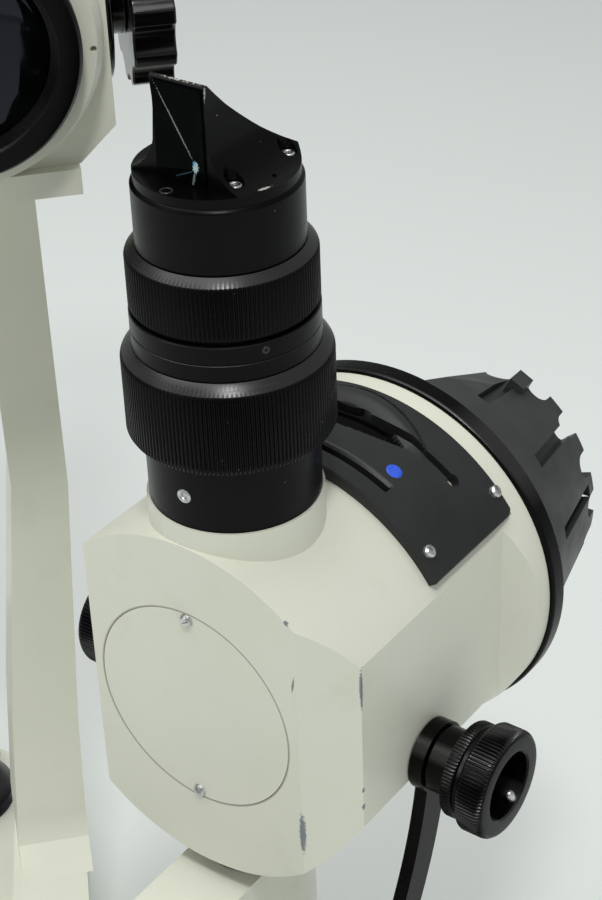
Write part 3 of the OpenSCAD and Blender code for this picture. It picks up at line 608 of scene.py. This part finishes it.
def panel_height(a, y):
    """Height of the filter panel's face above its plain surface, in millimetres."""
    lens = 1 - (a / SCOOP_HALF) ** 2
    front, rear = SCOOP_Y - 4.8 * lens, SCOOP_Y + 5.7 * lens
    if lens > 0 and front < y < rear:
        return -min(3.0, 4 * min(y - front, rear - y))
    if abs(a) < FRONT_REACH and GROOVE[0] < y < GROOVE[1]:
        end = math.radians(FRONT_REACH - abs(a)) * PANEL_R
        return -min(0.8, 1.6 * min(y - GROOVE[0], GROOVE[1] - y, end))
    if abs(a) > GUARD_HALF or y < SCOOP_Y:
        return 0.0
    seam = SEAM_Y + 10.3 * (1 - (a / SEAM_HALF) ** 2) if abs(a) < SEAM_HALF else SEAM_Y
    low = max(rear, SCOOP_Y)
    if abs(y - seam) < 0.4:
        return -0.9
    if low < y < seam:
        share = (y - low) / (seam - low)
        return 1.1 * math.sin(math.pi * share ** 1.5) * min(1, (GUARD_HALF - abs(a)) / 6)
    return 0.0


def in_painted_shade(a, y):
    """Whether the panel's face lies deep enough there to be matt black, as painted shade."""
    height = panel_height(a, y)
    return height < -1.2 or (abs(a) < 38 and 49.3 < y < 52.7 and height < -0.7)


def panel_lines():
    """The panel's grid, its angles and its distances along, with lines on the slots' edges."""
    y0, y1 = PANEL_Y
    ys = [y0, y0 + 0.2, y0 + 0.5] + [y0 + 0.5 + 0.45 * k for k in range(1, 88)]
    ys = [y for y in ys if y < y1 - 0.6] + [y1 - 0.5, y1 - 0.2, y1]
    edge = PANEL_HALF
    along = [-edge, -edge + 0.2, -edge + 0.5] + [-55 + 0.5 * k for k in range(221)]
    along += [edge - 0.5, edge - 0.2, edge]
    for lines, cuts in ((ys, FRONT_SLOT + REAR_SLOT), (along, (-FRONT_REACH, FRONT_REACH))):
        for cut in cuts:
            lines[min(range(len(lines)), key=lambda k: abs(lines[k] - cut))] = cut
    return along, ys


def panel_point(a, y):
    """Where a grid point goes: its angle, its distance along and its outer radius."""
    (y0, y1), edge = PANEL_Y, PANEL_HALF
    angle, across = a, y
    if abs(a) > 48:  # follows the rounded rear corners
        over = max(0.0, y - (y1 - CORNER_R))
        cut = CORNER_R - math.sqrt(max(0.0, CORNER_R ** 2 - over ** 2))
        limit = edge - math.degrees(cut / PANEL_R)
        angle = math.copysign(48 + (abs(a) - 48) * (limit - 48) / (edge - 48), a)
    near = math.copysign(REAR_REACH, a)
    dx, dy = math.radians(angle - near) * PANEL_R, y - REAR_MID
    reach = math.hypot(dx, dy)
    if 1.6 < reach < 2.4:  # onto the rear slot's round end, 2 mm in radius
        angle = near + math.degrees(dx * 2 / reach / PANEL_R)
        across = REAR_MID + dy * 2 / reach
    inset = min(y - y0, y1 - y, math.radians(edge - abs(a)) * PANEL_R)
    drop = 0.0 if inset >= 0.5 else 1.2 * (0.5 - inset)
    return angle, across, PANEL_R - drop + panel_height(a, y)


def curved_box(bm, r0, r1, y0, y1, a0, a1):
    """A block on the lamp housing between two radii, two distances and two angles."""
    count = max(1, round((a1 - a0) / 1.5))
    rows = []
    for k in range(count + 1):
        a = a0 + (a1 - a0) * k / count
        rows.append([bm.verts.new(on_barrel(r, a, y)) for r, y in ((r0, y0), (r1, y0), (r1, y1), (r0, y1))])
    for p, q in zip(rows, rows[1:]):
        for k in range(4):
            n = (k + 1) % 4
            bm.faces.new([p[k], p[n], q[n], q[k]])
    bm.faces.new(rows[0])
    bm.faces.new(rows[-1])


def filter_cover():
    """The curved panel over the filter slots: through slots, a scoop and a crowned guard."""
    along, ys = panel_lines()
    bm = bmesh.new()
    grid = {}
    for i, a in enumerate(along):
        for j, y in enumerate(ys):
            angle, across, top = panel_point(a, y)
            grid[i, j] = (bm.verts.new(on_barrel(top, angle, across)),
                          bm.verts.new(on_barrel(PANEL_INNER_R, angle, across)), angle, across)

    def kept(i, j):
        """Whether a grid cell is solid, and neither slot nor outside."""
        if not (0 <= i < len(along) - 1 and 0 <= j < len(ys) - 1):
            return False
        corners = [grid[i + u, j + v] for u in (0, 1) for v in (0, 1)]
        a, y = (sum(corner[k] for corner in corners) / 4 for k in (2, 3))
        if abs(a) < FRONT_REACH and FRONT_SLOT[0] < y < FRONT_SLOT[1]:
            return False
        if abs(a) < REAR_REACH and REAR_SLOT[0] < y < REAR_SLOT[1]:
            return False
        return math.hypot(math.radians(abs(a) - REAR_REACH) * PANEL_R, y - REAR_MID) > 1.97

    for i in range(len(along) - 1):
        for j in range(len(ys) - 1):
            if not kept(i, j):
                continue
            loop = [(i, j), (i + 1, j), (i + 1, j + 1), (i, j + 1)]
            face = bm.faces.new([grid[k][0] for k in loop])
            # painted shade: deep faces take the matt black second material
            face.material_index = int(in_painted_shade((along[i] + along[i + 1]) / 2,
                                                  (ys[j] + ys[j + 1]) / 2))
            bm.faces.new([grid[k][1] for k in reversed(loop)])
            sides = [((i, j - 1), loop[0], loop[1]), ((i + 1, j), loop[1], loop[2]),
                     ((i, j + 1), loop[2], loop[3]), ((i - 1, j), loop[3], loop[0])]
            for beyond, p, q in sides:
                if not kept(*beyond):
                    bm.faces.new([grid[p][0], grid[p][1], grid[q][1], grid[q][0]])
    cover = stand_in("filter_cover", bm, "filter_panel", sharp=40)
    # the second material: matt black painted shade for the deep faces
    cover.data.materials.append(mats["painted_slot_shade"])


def slot_liner():
    """Matt black walls under the edges of the two slots, standing in as painted shade."""
    bm = bmesh.new()
    inner_r, outer_r, near, far = 50.4, 55.0, 1.2, 1.42
    for mid, reach in ((FRONT_MID, FRONT_REACH), (REAR_MID, 38.4)):
        for side in (-1, 1):
            wall = sorted((mid + side * near, mid + side * far))
            curved_box(bm, inner_r, outer_r, *wall, -reach, reach)
            end = sorted((side * reach, side * (reach + 0.4)))
            curved_box(bm, inner_r, outer_r, mid - far, mid + far, *end)
    stand_in("slot_liner", bm, "filter_panel", "painted_slot_shade", replace=False)


def blue_dot():
    """The painted dot on the filter panel."""
    bm = bmesh.new()
    centre = on_barrel(PANEL_R, 25.4, 37.8)
    normal = (on_barrel(PANEL_R + 1, 25.4, 37.8) - centre).normalized()
    facing = normal.to_track_quat("Z", "Y").to_matrix().to_4x4()
    place = Matrix.Translation(centre - normal * 0.0001) @ facing
    lathe(bm, [(0, -0.5), (2.4, -0.5), (2.4, 0.05), (2.2, 0.16), (1.6, 0.24), (0, 0.27)],
          place, 40, closed=False)
    stand_in("blue_dot", bm, "filter_mark")


def objective():
    """The objective ring, with the stepped light baffles behind its rim, and its domed lens."""
    bm = bmesh.new()
    steps = []
    for k in range(6):
        steps += [(26.9 - 0.3 * k, 107.6 + 1.1 * k), (26.9 - 0.3 * k, 108.5 + 1.1 * k)]
    lathe(bm, [(27.2, 107.3), (27.6, 107), (31.2, 107), (32.7, 107.2), (33.6, 108.4), (33.8, 109),
               (33.8, 113.6), (33.4, 114), (28, 114), (28, 125), (26, 125), (26, 116.2),
               (25.2, 115.4)] + list(reversed(steps)), OPTIC, 128)
    stand_in("objective_ring_stepped", bm, "objective_ring")
    bm = bmesh.new()
    turns = [math.radians(t) for t in range(10, 90, 10)]
    dome = [(25.9 * math.cos(t), 113.2 - 3.2 * math.sin(t)) for t in turns]
    lathe(bm, [(0, 115), (25.9, 115), (25.9, 113.2)] + dome + [(0, 110)], OPTIC, 96, closed=False)
    stand_in("objective_lens_domed", bm, "objective_lens")


def tower_fixings():
    """Set screw of the collar, socket screws of the prism mount and its small locating ring."""
    bm = bmesh.new()
    set_screw = TOWER @ turned("Z", 3.2 - 90) @ shift(0, 0, 9.4) @ turned("Y", 90)
    lathe(bm, [(0, 18), (2.2, 18), (2.2, 22.6), (2.05, 22.95), (1.7, 23.15), (1.25, 23.1),
               (0.95, 22.75), (0.8, 22.3), (0.4, 22.15), (0, 22.1)], set_screw, 40, closed=False)
    for x in (-12.4, 12.4):
        for y in (-9.1, 12):
            lathe(bm, [(0, 90), (1.95, 90), (1.95, 93.4), (1.8, 93.65), (1.5, 93.75),
                       (1.1, 93.75), (0.95, 93.6), (0.95, 92.5), (0, 92.4)],
                  TOWER @ shift(x, y, 0), 36, closed=False)
    stand_in("tower_fixings", bm, "tower_screws", sharp=50)
    bm = bmesh.new()
    lathe(bm, [(1.15, 92.4), (1.15, 92.62), (1.3, 92.7), (1.55, 92.7), (1.7, 92.55), (1.7, 92.4)],
          TOWER @ shift(-0.6, -18.4, 0), 32)
    stand_in("locating_ring", bm, "prism_mount", "panel_grey", replace=False)


def merged(name, nodes, width):
    """CAD nodes that are one casting, united into one piece with rounded edges."""
    shapes = []
    for node in nodes:
        bm = bmesh.new()
        bm.from_mesh(frame["nodes"][node].data)
        bmesh.ops.remove_doubles(bm, verts=bm.verts, dist=SAME_POINT)
        mesh = bpy.data.meshes.new(node + "_copy")
        bm.to_mesh(mesh)
        bm.free()
        shapes.append(add_object(node + "_copy", mesh))
    for other in shapes[1:]:
        cut = shapes[0].modifiers.new("unite", "BOOLEAN")
        cut.operation = "UNION"
        cut.solver = "EXACT"
        cut.object = other
    whole = shapes[0].evaluated_get(bpy.context.evaluated_depsgraph_get())
    bm = bmesh.new()
    bm.from_mesh(whole.to_mesh())
    whole.to_mesh_clear()
    for shape in shapes:
        bpy.data.objects.remove(shape)
    bmesh.ops.remove_doubles(bm, verts=bm.verts, dist=SAME_POINT)
    bmesh.ops.dissolve_limit(bm, angle_limit=math.radians(0.8), verts=bm.verts, edges=bm.edges)
    round_edges(stand_in(name, bm, nodes, sharp=30), width, segments=3)


def joystick():
    """The fluted grip and the knurled height ring below it."""
    at = middle("joystick_grip")
    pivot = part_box("joystick_grip")[0][2] - 43.5 * MM
    stick = Matrix.Translation((at.x, at.y, pivot))
    bm = bmesh.new()
    turns = [math.radians(t) for t in range(0, 91, 10)]
    dome = [(6 + 7 * math.cos(t), 96 + 7 * math.sin(t), 0) for t in turns]
    lathe(bm, [(5, 43.5), (12.6, 43.5), (13, 44), (13, 47.4), (12.6, 48.6), (11.2, 53),
               (10.5, 57, 0.6), (10.6, 62, 1), (11.1, 75, 1), (11.8, 86, 1), (12.4, 91, 0.6),
               (13, 94)] + dome + [(4.2, 103), (4, 102.6), (0, 102.6)],
          stick, 14, FLUTE, 0.9, closed=False)
    stand_in("joystick_grip_fluted", bm, "joystick_grip", sharp=50)
    bm = bmesh.new()
    lathe(bm, [(5.05, 24.5), (14.7, 24.5), (15, 24.8), (15, 27), (16.5, 27), (17, 27.6, 1),
               (17, 42.2, 1), (16.4, 43), (13.4, 43), (13.2, 42.8), (5.05, 42.8)],
          stick, 90, KNURL, 0.55)
    stand_in("height_ring_knurled", bm, "height_ring")


def eyepieces():
    """The knurled dioptre rings and the rubber eyecups."""
    for side in ("left", "right"):
        at = middle("diopter_ring_" + side)
        axis = Matrix.Translation((at.x, 0, at.z)) @ turned("X", -90)
        y0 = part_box("diopter_ring_" + side)[0][1] / MM
        bm = bmesh.new()
        lathe(bm, [(10.05, y0), (15.1, y0), (15.5, y0 + 0.4, 1), (15.5, y0 + 7.4, 1),
                   (15.2, y0 + 8), (14.4, y0 + 8.2), (14.4, y0 + 8.8), (15, y0 + 9.1),
                   (15, y0 + 9.7), (12.5, y0 + 9.7), (12.5, y0 + 15.7), (10.05, y0 + 15.7)],
              axis, 72, KNURL, 0.5)
        stand_in("diopter_knurled_" + side, bm, "diopter_ring_" + side)
        bm = bmesh.new()
        low, high = (v[1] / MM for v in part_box("eyecup_" + side))
        lathe(bm, [(12.5, low), (15, low), (15.5, low + 2), (15.1, low + 2.6), (15.9, low + 4),
                   (15.5, low + 4.6), (16.4, low + 6), (16.6, low + 8), (17.6, low + 14),
                   (18.3, low + 17), (18.5, low + 17.7), (18.2, high), (17.4, high),
                   (16.7, high - 0.4), (16.1, high - 2), (14.8, low + 9), (14.2, low + 7.6),
                   (12.5, low + 6)], axis, 96)
        stand_in("eyecup_moulded_" + side, bm, "eyecup_" + side, sharp=60)


def clamp_knobs():
    """The fluted knobs of the two arm clamps and of the base lock."""
    for node, matrix in (("scope_clamp_knob", Matrix.Identity(4)), ("illum_clamp_knob", SWUNG)):
        axis = matrix @ Matrix.Translation((0, 0, middle(node).z)) @ turned("Y", -90)
        bm = bmesh.new()
        lathe(bm, [(3, 12), (3, 33), (7.5, 33), (8, 33.5), (8.2, 35.5), (10.6, 36.5), (11, 37, 1),
                   (11, 47.4, 1), (10.4, 48.6, 0.6), (9.4, 49), (6, 49), (5.6, 48.4), (0, 48.4),
                   (0, 12)], axis, 12, FLUTE, 1.3)
        stand_in(node + "_fluted", bm, node, sharp=40)
    at = middle("base_lock_knob")
    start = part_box("base_lock_knob")[0][0] / MM
    axis = Matrix.Translation((start * MM, at.y, at.z)) @ turned("Y", 90)
    bm = bmesh.new()
    lathe(bm, [(3, 0), (3, 12.8), (9, 12.8), (9.4, 13.2), (9.6, 15), (11.5, 16.4), (12, 17, 1),
               (12, 28.2, 1), (11.4, 29.6, 0.6), (10.4, 30), (6.5, 30), (6, 29.4), (0, 29.4),
               (0, 0)], axis, 12, FLUTE, 1.4)
    stand_in("base_lock_knob_fluted", bm, "base_lock_knob", sharp=40)


tower_fixings()
joystick()
eyepieces()
clamp_knobs()
merged("scope_bracket", ["scope_arm", "scope_column"], 1.5)
tower_rings()
knurled_knobs()
filter_cover()
slot_liner()
blue_dot()
objective()

# Edge rounding of the CAD nodes that stay, in millimetres
EDGES = {
    "base_casting": 2.5, "base_plate": 0.5, "column_guide": 0.6, "column_cap": 0.6, "lift_column": 0.4,
    "scope_body": 1.6, "front_disc": 0.6, "binocular_base": 1.2,
    "prism_box_left": 1.5, "prism_box_right": 1.5, "illum_arm": 1.2, "neck_spindle": 0.5,
    "lamp_housing": 0.5, "front_cover_plate": 0.45, "rear_flange": 0.5, "lamp_cap": 0.5,
    "tower_collar": 0.3, "tower_tube": 0.3, "prism_mount": 0.25, "brake_lever": 0.5, "mag_knobs": 0.6,
    "eyepiece_tube_left": 0.4, "eyepiece_tube_right": 0.4, "rail_wheels": 0.5, "cross_axle": 0.6,
    "filter_lever_front": 0.3, "filter_lever_rear": 0.3,
}
for node, width in EDGES.items():
    soften(node, width)


# ---------------------------------------------------------------- floor and light

def paper():
    """Plain pale backing paper."""
    m = Recipe("paper", Roughness=0.85, Specular_IOR_Level=0.2)
    colour = rgb(233, 238, 234)
    darker = tuple(c * 0.985 for c in colour[:3]) + (1,)
    m.link(m.mix(m.steps(m.noise(2.5, 2), 0.3, 0.7), colour, darker), "Base Color")
    return m.material


def add_floor():
    bm = bmesh.new()
    bmesh.ops.create_grid(bm, x_segments=8, y_segments=8, size=4)
    mesh = bpy.data.meshes.new("floor")
    bm.to_mesh(mesh)
    bm.free()
    floor = add_object("floor", mesh)
    mesh.materials.append(paper())


def add_light(name, place, aim, size, energy):
    """A square area light: metres and watts."""
    data = bpy.data.lights.new(name, "AREA")
    data.size = size
    data.energy = energy
    lamp = add_object(name, data)
    lamp.location = place
    lamp.rotation_euler = (Vector(aim) - Vector(place)).to_track_quat("-Z", "Y").to_euler()


def add_world():
    world = bpy.data.worlds.new("studio")
    bpy.context.scene.world = world
    world.use_nodes = True
    background = world.node_tree.nodes["Background"]
    background.inputs[0].default_value = (0.96, 0.98, 1.0, 1)
    background.inputs[1].default_value = 0.34


add_floor()
add_world()
add_light("overhead", (-0.25, 0.35, 1.9), (0, 0.1, 0.3), 1.6, 19)
add_light("key", (-0.05, -0.68, 1.7), (0.06, 0.05, 0.4), 0.2, 9)
add_light("left", (-1.5, -0.3, 1.1), (0.05, 0.1, 0.35), 0.9, 2.4)
add_light("fill", (0.6, -1.5, 0.55), (0.03, 0.1, 0.35), 1.0, 1.7)
bpy.context.scene.view_settings.view_transform = "Standard"
